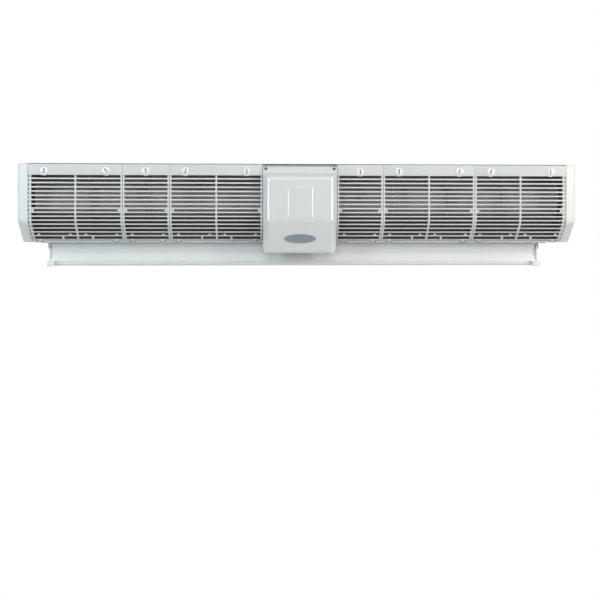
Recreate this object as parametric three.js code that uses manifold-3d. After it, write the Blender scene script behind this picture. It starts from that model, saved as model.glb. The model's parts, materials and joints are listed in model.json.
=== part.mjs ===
// A long wall-mounted air curtain: a steel casing that holds one motor in the middle and a
// cross-flow impeller on each side of it, behind six grille panels that tip forward, with a
// vane under the outlet that turns the air stream.
// Millimetres. +X runs to the right, +Y towards the wall, +Z up.
// The origin is on the wall, at the middle of the mounting plate.

import * as THREE from "three";
import { mergeVertices } from "three/addons/utils/BufferGeometryUtils.js";
import Module from "manifold-3d";

const wasm = await Module();
wasm.setup();

// ---------- driving dimensions ----------

const bodyTop = 105;
const bodyBottom = -108;
const frontPlane = -200;
const sectionWidth = 125;
const panelSections = { left: [2, 1, 2], right: [1, 2, 2] };
const sectionsPerSide = 5;
const coverWidth = 200;
const capWidth = 29;
const capSlope = THREE.MathUtils.degToRad(18);
const capBend = -55.4;

const sheet = 1.5;
const gap = 0.3;
const plasticWall = 2.5;

const bendStart = -38;
const bendRadius = 40;
const bendAngle = THREE.MathUtils.degToRad(47);
const bendSteps = 3;

const panelDepth = 10;
const panelTop = bodyTop - 1.9;
const panelBottom = -101.5;
const hingeY = -150;
const hingeZ = -104.5;
const gapsPerPanel = 16;
const upperGaps = 9;
const upperPitch = 11.33;
const lowerPitch = 10.6;
const firstGap = 35.2;
const gapHeight = 6.7;
const endFrameWidth = 4.8;
const thinRibWidth = 4.2;
const bandHeight = 28;

const lockInset = 43;
const lockDrop = 20;
const lockHeadRadius = 11;
const lockShankRadius = 4;

const axisY = -112;
const axisZ = 12;
const impellerRadius = 55;
const impellerInner = 104;
const impellerOuter = 714;
const bladeCount = 20;
const bladeChord = 14;
const bladeThickness = 1.8;
const bladeInset = 8.8;
const bladeSlant = THREE.MathUtils.degToRad(28);

const hookTabs = [-550, -250, 250, 550];
const tabWidth = 36;
const plateHalfLength = 620;
const plateTop = 70;
const plateBottom = -20;
const plateThickness = 2;
const plateScrews = [-600, -150, 150, 600];
const plateScrewZ = 25;
const plateHoleRadius = 4;
const hookDrop = 12;
const hookFront = -7.5;

const chassisBack = -3;
const chassisInside = chassisBack - sheet - gap;
const chassisFloor = bodyBottom + 0.5;
const foldFront = chassisBack - 26;
const railBack = -126;
const railFront = hingeY - 2;
const lugInset = 22;
const lugHalfWidth = 6;
const lugRadius = 2;

const ductEnd = 720.7;
const bulkheadX = 97;
const ductStart = bulkheadX + sheet + gap;
const motorRadius = 50;
const motorHalfLength = 48;
const motorBoss = 18;
const ringWall = 6;
const motorShaftRadius = 5;
const stubRadius = 4;
const bearingRadius = 11;
const housingRadius = 20;
const boreSides = 16;
const armX = motorHalfLength + gap + 13.5;
const armThickness = 3;

const capacitorRadius = 17;
const capacitorY = -30;
const capacitorZ = -78;
const grommetX = 74;
const grommetZ = 86;
const grommetNeck = 8;

const flangeFace = frontPlane - 3;
const coverProud = 21;
const coverTop = 97;
const coverBack = -188;
const coverBend = -50;
const coverFoot = -131;
const coverFootY = -190;
const coverScrewX = 92;
const coverScrewZ = 92;
const screwHoleRadius = 2.4;
const raisedHalfWidth = 33;
const raisedBottom = -42;
const raisedTop = 41;

const badgeThickness = 1.4;
const badgeDrop = 46;

const vanePivotY = -118;
const vanePivotZ = -120;
const vaneShift = -8;
const vaneHalfLength = 672;
const vaneTop = -109;
const vaneBottom = -173;
const vaneBossLength = 3.6;
const vaneBracketThickness = 1.5;
const vaneBoreRadius = 3.3;
const vaneBracketX = vaneHalfLength + gap + vaneBossLength + gap;

const grilleEnd = coverWidth / 2 + sectionsPerSide * sectionWidth;
const sheetEnd = grilleEnd - gap;
const endPlateX = ductEnd + gap;
const floorInside = chassisFloor + sheet + gap;
const lipFace = frontPlane + panelDepth + 2;
const roundSides = 16;
const beyond = 5; // how far a hole's cutter reaches past the wall it goes through

// ---------- materials ----------

function finish(color, roughness, metalness) {
  return new THREE.MeshStandardMaterial({ color, roughness, metalness });
}

const whitePlastic = finish(0xe3e6e3, 0.45, 0);
const grillePlastic = finish(0xdcdade, 0.5, 0);
const lockPlastic = finish(0xf2f4f2, 0.4, 0);
const vanePaint = finish(0xe4e8e6, 0.45, 0.1);
const galvanised = finish(0xa9adb0, 0.45, 0.8);
const paintedSteel = finish(0xd9dcda, 0.5, 0.1);
const impellerPlastic = finish(0x8d8388, 0.55, 0);
const motorPaint = finish(0x55585c, 0.5, 0.5);
const castAlloy = finish(0x9a9da0, 0.5, 0.7);
const brightSteel = finish(0xc4c6c8, 0.3, 0.9);
const darkSteel = finish(0x4b4b4d, 0.4, 0.8);
const blackRubber = finish(0x222224, 0.8, 0);
const capacitorWhite = finish(0xd8d8d2, 0.5, 0);
const badgePlastic = finish(0x8f979d, 0.4, 0.2);

// ---------- solids ----------

function solidOf(geometry) {
  const bare = geometry.clone();
  bare.deleteAttribute("normal");
  bare.deleteAttribute("uv");
  const merged = mergeVertices(bare, 1e-4);
  return new wasm.Manifold(
    new wasm.Mesh({
      numProp: 3,
      vertProperties: merged.attributes.position.array,
      triVerts: new Uint32Array(merged.index.array),
    }),
  );
}

function join(solids) {
  return solids.reduce((whole, next) => whole.add(next));
}

function cut(solid, tools) {
  return tools.reduce((whole, tool) => whole.subtract(tool), solid);
}

function block(x0, x1, y0, y1, z0, z1) {
  const geometry = new THREE.BoxGeometry(x1 - x0, y1 - y0, z1 - z0);
  geometry.translate((x0 + x1) / 2, (y0 + y1) / 2, (z0 + z1) / 2);
  return solidOf(geometry);
}

// An outline of [y, z] points, drawn out along X.
const outlineToSide = new THREE.Matrix4().makeBasis(
  new THREE.Vector3(0, 1, 0),
  new THREE.Vector3(0, 0, 1),
  new THREE.Vector3(1, 0, 0),
);

function extrudeX(outline, x0, x1) {
  const shape = new THREE.Shape(outline.map(([y, z]) => new THREE.Vector2(y, z)));
  const geometry = new THREE.ExtrudeGeometry(shape, { depth: x1 - x0, bevelEnabled: false });
  geometry.applyMatrix4(outlineToSide);
  geometry.translate(x0, 0, 0);
  return solidOf(geometry);
}

function rodX(radius, x0, x1, y, z, sides = roundSides) {
  const geometry = new THREE.CylinderGeometry(radius, radius, x1 - x0, sides);
  geometry.rotateZ(Math.PI / 2);
  geometry.translate((x0 + x1) / 2, y, z);
  return solidOf(geometry);
}

function rodY(radius, y0, y1, x, z, sides = roundSides) {
  const geometry = new THREE.CylinderGeometry(radius, radius, y1 - y0, sides);
  geometry.translate(x, (y0 + y1) / 2, z);
  return solidOf(geometry);
}

// A closed skin through rings of [x, y, z] points, all with the same number of points.
function loft(rings) {
  const count = rings[0].length;
  const positions = rings.flat(2);
  const index = [];
  for (let ring = 0; ring + 1 < rings.length; ring += 1) {
    for (let i = 0; i < count; i += 1) {
      const a = ring * count + i;
      const b = ring * count + ((i + 1) % count);
      index.push(a, b, b + count, a, b + count, a + count);
    }
  }
  const endOutline = (ring) => ring.map(([, y, z]) => new THREE.Vector2(y, z));
  const last = (rings.length - 1) * count;
  for (const [a, b, c] of THREE.ShapeUtils.triangulateShape(endOutline(rings[0]), [])) {
    index.push(a, c, b);
  }
  for (const [a, b, c] of THREE.ShapeUtils.triangulateShape(endOutline(rings.at(-1)), [])) {
    index.push(last + a, last + b, last + c);
  }
  const geometry = new THREE.BufferGeometry();
  geometry.setAttribute("position", new THREE.Float32BufferAttribute(positions, 3));
  geometry.setIndex(index);
  return solidOf(geometry);
}

// The closed outline of a bent sheet: the path of [y, z] points, and the same path moved to its
// left by the sheet's thickness, with mitred corners.
function bentSheet(path, thickness) {
  const points = path.map(([y, z]) => new THREE.Vector2(y, z));
  const runs = points.slice(1).map((point, i) => point.clone().sub(points[i]).normalize());
  const moved = points.map((point, i) => {
    const into = runs[Math.max(i - 1, 0)];
    const out = runs[Math.min(i, runs.length - 1)];
    const along = into.clone().add(out).normalize();
    const reach = thickness / along.dot(into);
    return [point.x - along.y * reach, point.y + along.x * reach];
  });
  return [...path, ...moved.reverse()];
}

function piece(name, solid, material) {
  const { vertProperties, triVerts } = solid.getMesh();
  const geometry = new THREE.BufferGeometry();
  geometry.setAttribute("position", new THREE.BufferAttribute(vertProperties, 3));
  geometry.setIndex(new THREE.BufferAttribute(triVerts, 1));
  geometry.computeVertexNormals();
  const mesh = new THREE.Mesh(geometry, material);
  mesh.name = name;
  return mesh;
}

// The line down the front, seen from the side: straight, then bent back under the casing.
function frontLine(inset, top, bottom) {
  const radius = bendRadius - inset;
  const centreY = frontPlane + bendRadius;
  const points = [[frontPlane + inset, top]];
  for (let i = 0; i <= bendSteps; i += 1) {
    const angle = (bendAngle * i) / bendSteps;
    points.push([centreY - radius * Math.cos(angle), bendStart - radius * Math.sin(angle)]);
  }
  const [endY, endZ] = points.at(-1);
  points.push([endY + (endZ - bottom) * Math.tan(bendAngle), bottom]);
  return points;
}

// ---------- casing ----------

function mountingPlate() {
  const plate = block(-plateHalfLength, plateHalfLength, -plateThickness, 0, plateBottom, plateTop);
  const hookBottom = plateTop - hookDrop;
  const hookSide = bentSheet(
    [[-plateThickness, hookBottom], [hookFront, hookBottom], [hookFront, plateTop - 1]],
    -plateThickness,
  );
  const hooks = hookTabs.map((x) => extrudeX(hookSide, x - tabWidth / 2, x + tabWidth / 2));
  const screwHoles = plateScrews.map((x) => {
    return rodY(plateHoleRadius, -beyond, beyond, x, plateScrewZ, 10);
  });
  return cut(join([plate, ...hooks]), screwHoles);
}

function panelEdges() {
  const edges = [];
  let x = -grilleEnd;
  for (const sections of panelSections.left) {
    edges.push({ x, sections });
    x += sections * sectionWidth;
  }
  x += coverWidth;
  for (const sections of panelSections.right) {
    edges.push({ x, sections });
    x += sections * sectionWidth;
  }
  return edges;
}

// Where the locks of a panel stand, from the panel's left edge.
function lockPlaces(sections) {
  const width = sections * sectionWidth;
  return sections === 1 ? [width / 2] : [lockInset, width - lockInset];
}

function chassis() {
  const lipBottom = 74;
  const camClearance = 8;
  const slotHalf = tabWidth / 2 + 2;
  const slotBottom = plateTop - hookDrop - 3;
  const slotTop = plateTop - hookDrop + 2.5;
  const side = bentSheet(
    [
      [foldFront, chassisFloor],
      [chassisBack, chassisFloor],
      [chassisBack, bodyTop],
      [lipFace, bodyTop],
      [lipFace, lipBottom],
    ],
    sheet,
  );
  const folded = extrudeX(side, -sheetEnd, sheetEnd);
  const hookSlots = hookTabs.map((x) => {
    return block(x - slotHalf, x + slotHalf, chassisInside - beyond, 0, slotBottom, slotTop);
  });
  const throughLip = (radius, x, z, sides) => {
    return rodY(radius, lipFace - beyond, lipFace + beyond, x, z, sides);
  };
  const lockHoles = panelEdges().flatMap(({ x, sections }) => {
    return lockPlaces(sections).map((place) => {
      return throughLip(camClearance, x + place, bodyTop - lockDrop, 12);
    });
  });
  const screwHoles = [-coverScrewX, coverScrewX].map((x) => {
    return throughLip(screwHoleRadius, x, coverScrewZ, 6);
  });
  const cableHole = rodY(grommetNeck + gap, chassisInside - beyond, 0, grommetX, grommetZ);
  return cut(folded, [...hookSlots, ...lockHoles, ...screwHoles, cableHole]);
}

function lowerRail() {
  const wallTop = hingeZ + 1.9;
  const side = bentSheet(
    [[railFront, wallTop], [railFront, bodyBottom], [railBack, bodyBottom]],
    sheet,
  );
  const notchHalf = lugHalfWidth + 2;
  const notchBottom = hingeZ - lugRadius - 0.5;
  const notchTop = wallTop + beyond;
  const notches = panelEdges().flatMap(({ x, sections }) => {
    const places = [x + lugInset, x + sections * sectionWidth - lugInset];
    return places.map((place) => {
      const from = place - notchHalf;
      const to = place + notchHalf;
      return block(from, to, railFront - beyond, hingeY + 2, notchBottom, notchTop);
    });
  });
  return cut(extrudeX(side, -sheetEnd, sheetEnd), notches);
}

// A plate across the casing, standing between x0 and x0 plus the sheet's thickness.
function crossPlate(x0, holeRadius) {
  const top = bodyTop - sheet - gap;
  const behindPanel = panelDepth + 3.5;
  const aboveHinge = hingeZ + 4;
  const front = frontLine(behindPanel, top, aboveHinge);
  const outline = [
    ...front,
    [front.at(-1)[0], floorInside],
    [chassisInside, floorInside],
    [chassisInside, top],
  ];
  const plate = extrudeX(outline, x0, x0 + sheet);
  return cut(plate, [rodX(holeRadius, x0 - beyond, x0 + beyond, axisY, axisZ)]);
}

function endPlate() {
  return crossPlate(endPlateX, housingRadius + 0.5);
}

function bulkhead() {
  const couplingHole = 20;
  return crossPlate(bulkheadX, couplingHole);
}

// Closes the underside of the motor compartment between the rail and the rear fold.
function compartmentFloor() {
  const front = railBack + gap;
  const upstandTop = bodyBottom + 12;
  const side = bentSheet(
    [[front, upstandTop], [front, bodyBottom], [foldFront - gap, bodyBottom]],
    sheet,
  );
  return extrudeX(side, -bulkheadX + gap, bulkheadX - gap);
}

// The cap's outline, with its front and its other edges moved inwards. Its bend is sharper than
// the panels'.
function capOutline(frontInset, edgeInset) {
  const top = bodyTop - edgeInset;
  const bottom = bodyBottom + edgeInset;
  const front = frontPlane + frontInset;
  const bend = capBend + frontInset * Math.tan(bendAngle / 2);
  const chamfer = 5;
  const foot = front + (bend - bottom) * Math.tan(bendAngle);
  return [
    [front, top],
    [front, bend + chamfer],
    [front + chamfer * Math.sin(bendAngle), bend - chamfer * Math.cos(bendAngle)],
    [foot, bottom],
    [-1 - edgeInset, bottom],
    [-1 - edgeInset, top],
  ];
}

function endCap() {
  const roundOver = 5;
  const roundSteps = 4;
  const sideWall = plasticWall + 3;
  const start = grilleEnd + gap;
  const outer = grilleEnd + capWidth;
  const slopeAt = (x) => Math.max(0, x - start - 1) * Math.tan(capSlope);
  const ringAt = (x, inset) => {
    return capOutline(slopeAt(x) + inset, inset).map(([y, z]) => [x, y, z]);
  };
  const rings = [ringAt(start, 0), ringAt(start + 1, 0)];
  for (let i = 0; i <= roundSteps; i += 1) {
    const angle = (Math.PI / 2) * (i / roundSteps);
    rings.push(
      ringAt(outer - roundOver * (1 - Math.sin(angle)), roundOver * (1 - Math.cos(angle))),
    );
  }
  const hollow = loft([ringAt(start - beyond, plasticWall), ringAt(start + 1, plasticWall),
    ringAt(outer - sideWall, plasticWall)]);
  return cut(loft(rings), [hollow]);
}

// ---------- air path ----------

function rearGuide() {
  const steps = 10;
  const fromAngle = THREE.MathUtils.degToRad(100);
  const toAngle = THREE.MathUtils.degToRad(-40);
  const fromRadius = impellerRadius + 8;
  const toRadius = impellerRadius + 31;
  const entryY = -130;
  const entryZ = 84;
  const outletY = -44;
  const outletZ = -75;
  const footZ = bodyBottom + gap;
  const path = [[entryY, bodyTop - sheet - gap], [entryY, entryZ]];
  for (let i = 0; i <= steps; i += 1) {
    const angle = THREE.MathUtils.lerp(fromAngle, toAngle, i / steps);
    const radius = THREE.MathUtils.lerp(fromRadius, toRadius, i / steps);
    path.push([axisY + radius * Math.cos(angle), axisZ + radius * Math.sin(angle)]);
  }
  path.push([outletY, outletZ], [outletY, footZ], [foldFront - gap, footZ]);
  return extrudeX(bentSheet(path, sheet), ductStart, ductEnd);
}

function cutOff() {
  const path = [
    [-146, -36],
    [-151, -32],
    [-155, -38],
    [-126, -78],
    [-124, bodyBottom + gap],
  ];
  return extrudeX(bentSheet(path, sheet), ductStart, ductEnd);
}

// ---------- fan ----------

function motorBody() {
  const statorBore = 30;
  const shell = rodX(motorRadius, -motorHalfLength, motorHalfLength, 0, 0, 24);
  const boreEnd = motorHalfLength + beyond;
  return cut(shell, [rodX(statorBore, -boreEnd, boreEnd, 0, 0)]);
}

function motorEndBell() {
  const start = motorHalfLength + gap;
  const rimEnd = start + 8;
  const hubEnd = start + 12;
  const bossEnd = start + 20;
  const hubRadius = motorBoss + 10;
  const ventRadius = 4.5;
  const ventCircle = 37;
  const ventCount = 4;
  const bell = join([
    rodX(motorRadius - 3, start, rimEnd, 0, 0, 24),
    rodX(hubRadius, start, hubEnd, 0, 0),
    rodX(motorBoss, start, bossEnd, 0, 0),
  ]);
  const bore = rodX(motorShaftRadius + 0.4, start - beyond, bossEnd + beyond, 0, 0);
  const vents = [];
  for (let i = 0; i < ventCount; i += 1) {
    const angle = (2 * Math.PI * i) / ventCount;
    const y = ventCircle * Math.cos(angle);
    const z = ventCircle * Math.sin(angle);
    vents.push(rodX(ventRadius, start - 1, hubEnd, y, z, 6));
  }
  return cut(bell, [bore, ...vents]);
}

function motorRing() {
  const flangeRadius = motorBoss + ringWall + 2.5;
  const ring = join([
    rodX(motorBoss + ringWall, armX - 1, armX + armThickness + 1, 0, 0),
    rodX(flangeRadius, armX - 1.2, armX - gap, 0, 0),
  ]);
  const boreEnd = armX + armThickness + beyond;
  return cut(ring, [rodX(motorBoss + gap, armX - beyond, boreEnd, 0, 0)]);
}

function motorBracket() {
  const baseFront = -10;
  const baseBottom = -34;
  const baseTop = 58;
  const windowHalf = 40;
  const rim = 16;
  const armEnd = armX + armThickness;
  const base = block(-armEnd, armEnd, baseFront, chassisInside, baseBottom, baseTop);
  const armSide = [
    [chassisInside, baseBottom],
    [baseFront - 4, baseBottom],
    [axisY - 10, axisZ - 32],
    [axisY - 28, axisZ - 20],
    [axisY - 34, axisZ],
    [axisY - 28, axisZ + 20],
    [axisY - 10, axisZ + 32],
    [baseFront - 4, baseTop],
    [chassisInside, baseTop],
  ];
  const arms = [-armEnd, armX].map((x) => extrudeX(armSide, x, x + armThickness));
  const seatEnd = armEnd + beyond;
  const seats = rodX(motorBoss + ringWall + gap, -seatEnd, seatEnd, axisY, axisZ);
  const opening = block(
    -windowHalf,
    windowHalf,
    baseFront - beyond,
    0,
    baseBottom + rim,
    baseTop - rim,
  );
  return cut(join([base, ...arms]), [seats, opening]);
}

function motorShaft() {
  const halfLength = 99;
  return rodX(motorShaftRadius, -halfLength, halfLength, 0, 0, boreSides);
}

function coupling() {
  const sleeveStart = 80;
  const flangeStart = 100;
  const sleeve = join([
    rodX(15, sleeveStart, flangeStart, 0, 0),
    rodX(22, flangeStart, impellerInner - gap, 0, 0),
  ]);
  const setScrewHole = block(sleeveStart + 6, sleeveStart + 10, -2, 2, 4, 20);
  const boreStart = sleeveStart - beyond;
  const boreEnd = impellerInner + beyond;
  const bore = rodX(motorShaftRadius + gap, boreStart, boreEnd, 0, 0, boreSides);
  return cut(sleeve, [bore, setScrewHole]);
}

function impeller() {
  const disc = 2;
  const middle = (impellerInner + impellerOuter) / 2;
  const discs = [impellerInner, middle, impellerOuter - disc].map((x) => {
    return rodX(impellerRadius, x, x + disc, 0, 0);
  });
  const blades = [];
  for (let i = 0; i < bladeCount; i += 1) {
    const geometry = new THREE.BoxGeometry(
      impellerOuter - impellerInner - disc,
      bladeThickness,
      bladeChord,
    );
    geometry.rotateX(bladeSlant);
    geometry.translate(middle, 0, impellerRadius - bladeInset);
    geometry.rotateX((2 * Math.PI * i) / bladeCount);
    blades.push(solidOf(geometry));
  }
  const stub = rodX(stubRadius, impellerOuter - 1, impellerOuter + 15, 0, 0, boreSides);
  return join([...discs, ...blades, stub]);
}

function bearing() {
  const ring = rodX(bearingRadius, impellerOuter + 4, impellerOuter + 13, 0, 0);
  const bore = rodX(stubRadius + 0.35, impellerOuter, impellerOuter + 20, 0, 0, boreSides);
  return cut(ring, [bore]);
}

function bearingHousing() {
  const plateOutside = endPlateX + sheet;
  const flangeRadius = housingRadius + 6;
  const cup = join([
    rodX(housingRadius, impellerOuter + 2.5, plateOutside + 4, 0, 0),
    rodX(flangeRadius, plateOutside + gap, plateOutside + 3.5, 0, 0),
  ]);
  const bore = rodX(bearingRadius + gap, impellerOuter, plateOutside + 10, 0, 0);
  return cut(cup, [bore]);
}

// ---------- electrical pieces in the motor compartment ----------

function capacitor() {
  const canEnd = 30;
  const can = rodX(capacitorRadius, -36, canEnd, capacitorY, capacitorZ);
  const terminals = [-5, 5].map((shift) => {
    const y = capacitorY + shift;
    return block(canEnd - 1, canEnd + 8, y - 0.5, y + 0.5, capacitorZ - 3, capacitorZ + 3);
  });
  return join([can, ...terminals]);
}

function capacitorClip() {
  const start = -10;
  const end = 6;
  const below = capacitorZ - 8;
  const band = join([
    rodX(capacitorRadius + 2, start, end, capacitorY, capacitorZ),
    block(start, end, chassisInside - 2, chassisInside, below, capacitorZ + 34),
    block(start, end, capacitorY, chassisInside, below, capacitorZ + 8),
  ]);
  const seat = rodX(
    capacitorRadius + gap,
    start - beyond,
    end + beyond,
    capacitorY,
    capacitorZ,
  );
  return cut(band, [seat]);
}

function terminalBlock() {
  const front = chassisInside - 20;
  const bottom = 74;
  const top = 94;
  const pitch = 16;
  const base = block(-42, 42, front, chassisInside, bottom, top);
  const wells = [-2, -1, 0, 1, 2].flatMap((step) => {
    const x = step * pitch;
    return [
      rodY(3.2, front - beyond, chassisInside - 8, x, top - 6, 10),
      block(x - 4, x + 4, front + 3, chassisInside - 4, bottom - 4, bottom + 6),
    ];
  });
  return cut(base, wells);
}

function cableGrommet() {
  const inner = -9;
  const outer = -0.8;
  const cableRadius = 4.5;
  const body = join([
    rodY(grommetNeck, inner, outer, grommetX, grommetZ),
    rodY(grommetNeck + 4, inner, chassisInside, grommetX, grommetZ),
    rodY(grommetNeck + 3, chassisBack + gap, outer, grommetX, grommetZ),
  ]);
  return cut(body, [rodY(cableRadius, inner - beyond, beyond, grommetX, grommetZ, boreSides)]);
}

// ---------- front ----------

// The cover's outline in [y, z], standing proud by the given amount and shrunk by the inset.
function coverOutline(proud, inset, back) {
  const face = flangeFace - proud + inset;
  const foot = coverFootY + coverProud - proud + inset;
  const bottom = coverFoot - 5 + inset;
  return [
    [flangeFace + inset, coverTop - inset],
    [flangeFace + inset, 82],
    [face, 71 - inset * 0.6],
    [face, coverBend],
    [foot, coverFoot + inset * 0.4],
    [foot + 6, bottom],
    [-156, bottom],
    [-156 + back, -104],
    [coverBack + back, -66],
    [coverBack + back, coverTop - inset],
  ];
}

function coverLoft(inset, back) {
  const half = coverWidth / 2 - 0.5;
  const bevel = 13.5;
  const rings = [
    [-half + inset, 0],
    [-half + bevel + inset * 0.5, coverProud],
    [half - bevel - inset * 0.5, coverProud],
    [half - inset, 0],
  ];
  return loft(
    rings.map(([x, proud]) => coverOutline(proud, inset, back).map(([y, z]) => [x, y, z])),
  );
}

function centreCover() {
  const face = flangeFace - coverProud;
  const raised = block(
    -raisedHalfWidth,
    raisedHalfWidth,
    face - 0.8,
    face + 1,
    raisedBottom,
    raisedTop,
  );
  const wallReach = 30;
  const shell = cut(join([coverLoft(0, 0), raised]), [coverLoft(plasticWall, wallReach)]);
  const screwHoles = [-coverScrewX, coverScrewX].map((x) => {
    return rodY(screwHoleRadius, flangeFace - beyond, coverBack, x, coverScrewZ, 8);
  });
  return cut(shell, screwHoles);
}

function coverScrew() {
  const headFace = flangeFace - 2.6;
  const arm = 2.4;
  const slotBottom = flangeFace - 1.5;
  const head = rodY(4, headFace, flangeFace - gap, 0, 0, boreSides);
  const shank = rodY(2, flangeFace - 1, lipFace + 6, 0, 0, 8);
  const cross = [
    block(-arm, arm, headFace - beyond, slotBottom, -0.5, 0.5),
    block(-0.5, 0.5, headFace - beyond, slotBottom, -arm, arm),
  ];
  return cut(join([head, shank]), cross);
}

function badge() {
  const halfWidth = 43;
  const halfHeight = 13.5;
  const geometry = new THREE.CylinderGeometry(1, 1, badgeThickness, 32);
  geometry.scale(halfWidth, 1, halfHeight);
  return solidOf(geometry);
}

// The height of the middle of a gap, counted from the top; the lower slats stand closer.
function gapCentre(row) {
  const lower = Math.max(row - upperGaps + 1, 0);
  return bodyTop - firstGap - (row - lower) * upperPitch - lower * lowerPitch;
}

// One grille panel, from x = 0 to its width: a bent shell with a row of gaps for each section.
function grillePanel(sections) {
  const width = sections * sectionWidth - gap;
  const outside = frontLine(0, panelTop, panelBottom);
  const inside = frontLine(panelDepth, panelTop, panelBottom).reverse();
  const shell = extrudeX([...outside, ...inside], 0, width);
  const cutFront = frontPlane - 10;
  const cutBack = -120;
  const band = block(
    endFrameWidth,
    width - endFrameWidth,
    frontPlane + plasticWall,
    frontPlane + panelDepth + beyond,
    bodyTop - bandHeight,
    panelTop - plasticWall,
  );
  const windows = [];
  for (let section = 0; section < sections; section += 1) {
    const left = section === 0 ? endFrameWidth : section * sectionWidth + thinRibWidth / 2;
    const isLast = section === sections - 1;
    const right = isLast ? width - endFrameWidth : (section + 1) * sectionWidth - thinRibWidth / 2;
    for (let row = 0; row < gapsPerPanel; row += 1) {
      const z = gapCentre(row);
      windows.push(block(left, right, cutFront, cutBack, z - gapHeight / 2, z + gapHeight / 2));
    }
  }
  const lockHoles = lockPlaces(sections).map((place) => {
    return rodY(lockShankRadius + 0.5, cutFront, lipFace + beyond, place, bodyTop - lockDrop, 10);
  });
  const webHalf = 1.2;
  const lugs = [lugInset, width - lugInset].flatMap((place) => {
    const from = place - lugHalfWidth;
    const to = place + lugHalfWidth;
    return [
      rodX(lugRadius, from, to, hingeY, hingeZ, 10),
      block(from, to, hingeY - webHalf, hingeY + webHalf, hingeZ, panelBottom + 1),
    ];
  });
  return join([cut(shell, [band, ...windows, ...lockHoles]), ...lugs]);
}

// A coin-slot lock about its own axis: a round head, a shank through the panel and an oval cam.
function quarterTurnLock() {
  const headBack = frontPlane - gap;
  const slotHalfLength = 8;
  const head = rodY(lockHeadRadius, headBack - 2, headBack, 0, 0);
  const shank = rodY(lockShankRadius - 0.1, headBack - 1, lipFace + 1, 0, 0, 8);
  const camGeometry = new THREE.CylinderGeometry(1, 1, 7, 8);
  camGeometry.scale(3.6, 1, 6);
  camGeometry.translate(0, lipFace + 2, 0);
  const slot = block(-1, 1, headBack - beyond, headBack - 0.8, -slotHalfLength, slotHalfLength);
  return cut(join([head, shank, solidOf(camGeometry)]), [slot]);
}

// ---------- vane ----------

function vaneBlade() {
  const side = [
    [-121.5, vaneTop],
    [-121.5, -124],
    [-120.6, -125],
    [-122.4, -163],
    [-126, -165.5],
    [-126.8, -169],
    [-125, vaneBottom],
    [-119.5, vaneBottom],
    [-118.4, -169],
    [-120.2, -163],
    [-118.4, -125],
    [-119.2, -124],
    [-119.2, vaneTop],
  ];
  return extrudeX(side, -vaneHalfLength, vaneHalfLength);
}

function vaneEnd() {
  const start = vaneHalfLength + gap;
  const earFront = -134.5;
  const earTop = -160;
  const side = [
    [-126, -112],
    [-126, -160],
    [-134, -163],
    [-134, vaneBottom - 1],
    [-112, vaneBottom - 1],
    [-111, -140],
    [-110, -112],
  ];
  const cheek = extrudeX(side, start, start + 3);
  const ear = block(start - 12, start + 9, earFront, -127.3, vaneBottom - 1.5, earTop);
  const boss = rodX(7, start, start + vaneBossLength, vanePivotY, vanePivotZ, 20);
  const boreStart = start - beyond;
  const boreEnd = start + 20;
  const bore = rodX(vaneBoreRadius, boreStart, boreEnd, vanePivotY, vanePivotZ, boreSides);
  return cut(join([cheek, ear, boss]), [bore]);
}

function vaneBracket() {
  const top = bodyBottom - gap;
  const under = top - vaneBracketThickness;
  const end = vaneBracketX + vaneBracketThickness;
  const wall = block(vaneBracketX, end, -125, -111, -127, top);
  const foot = block(vaneBracketX, vaneBracketX + 16, -148, -111, under, top);
  const boreStart = vaneBracketX - beyond;
  const boreEnd = end + beyond;
  const bore = rodX(vaneBoreRadius, boreStart, boreEnd, vanePivotY, vanePivotZ, boreSides);
  return cut(join([wall, foot]), [bore]);
}

function pivotPin() {
  const headStart = vaneBracketX + vaneBracketThickness + gap;
  const headEnd = headStart + 1.6;
  const start = vaneHalfLength + 0.5;
  return join([
    rodX(3, start, headEnd - 1, vanePivotY, vanePivotZ, boreSides),
    rodX(4.5, headStart, headEnd, vanePivotY, vanePivotZ, boreSides),
  ]);
}

// ---------- assembly ----------

// One half of the machine, drawn for the right side.
function sidePieces(side) {
  const half = new THREE.Group();
  half.add(piece(`end_plate_${side}`, endPlate(), galvanised));
  half.add(piece(`end_cap_${side}`, endCap(), whitePlastic));
  half.add(piece(`bulkhead_${side}`, bulkhead(), galvanised));
  half.add(piece(`rear_guide_${side}`, rearGuide(), galvanised));
  half.add(piece(`cut_off_${side}`, cutOff(), galvanised));

  const onAxis = new THREE.Group();
  onAxis.position.set(0, axisY, axisZ);
  onAxis.add(piece(`motor_end_bell_${side}`, motorEndBell(), castAlloy));
  onAxis.add(piece(`motor_ring_${side}`, motorRing(), blackRubber));
  onAxis.add(piece(`coupling_${side}`, coupling(), brightSteel));
  onAxis.add(piece(`impeller_${side}`, impeller(), impellerPlastic));
  onAxis.add(piece(`bearing_${side}`, bearing(), brightSteel));
  onAxis.add(piece(`bearing_housing_${side}`, bearingHousing(), blackRubber));
  half.add(onAxis);

  const screw = piece(`cover_screw_${side}`, coverScrew(), darkSteel);
  screw.position.set(coverScrewX, 0, coverScrewZ);
  half.add(screw);
  return half;
}

// The whole vane stands a little to the left of the middle.
function vanePieces() {
  const vane = new THREE.Group();
  vane.position.x = vaneShift;
  vane.add(piece("vane_blade", vaneBlade(), vanePaint));
  for (const [side, mirror] of [["right", 1], ["left", -1]]) {
    const end = new THREE.Group();
    end.scale.x = mirror;
    end.add(piece(`vane_end_${side}`, vaneEnd(), whitePlastic));
    end.add(piece(`vane_bracket_${side}`, vaneBracket(), paintedSteel));
    end.add(piece(`pivot_pin_${side}`, pivotPin(), brightSteel));
    vane.add(end);
  }
  return vane;
}

function motorPieces() {
  const motor = new THREE.Group();
  motor.position.set(0, axisY, axisZ);
  motor.add(piece("motor_body", motorBody(), motorPaint));
  motor.add(piece("motor_shaft", motorShaft(), brightSteel));
  return motor;
}

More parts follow.
